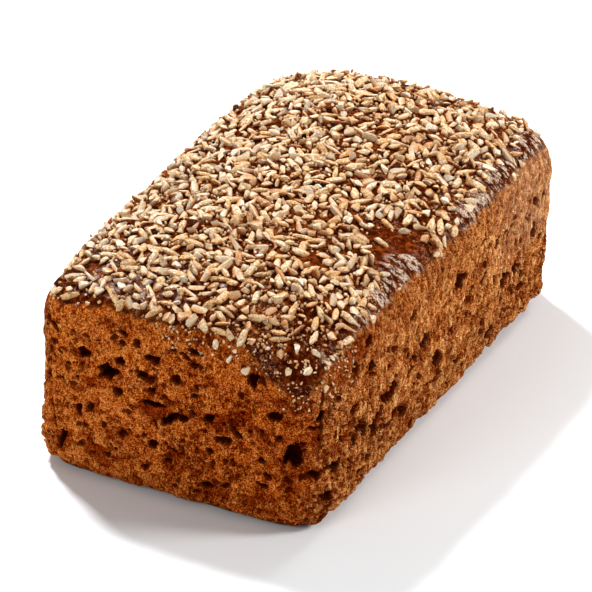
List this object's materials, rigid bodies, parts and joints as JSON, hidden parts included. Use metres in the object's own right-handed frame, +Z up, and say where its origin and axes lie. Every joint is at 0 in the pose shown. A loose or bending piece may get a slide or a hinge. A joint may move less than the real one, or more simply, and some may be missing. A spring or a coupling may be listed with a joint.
{
  "type": "rye bread",
  "caption": "Whole tin-baked rye bread: a long rounded block with a low arched top sown with cracked groats, flat base, pitted walls.",
  "frame": {"origin": "centre of the flat base, on the surface that the loaf stands on", "axes": "+Z up, +Y along the length, away from the end that faces the camera's left, +X towards the long side that shows"},
  "size_m": [0.1129, 0.202, 0.0802],
  "materials": {
    "crust": "caramel-brown rye crust, matt and finely grained on the walls, darker red-brown and glossy on top",
    "groats": "cracked rye kernels, cream to golden tan, matt, with whitish broken faces"
  },
  "bodies": {
    "root": {"loaf": "crust"}
  },
  "joints": []
}
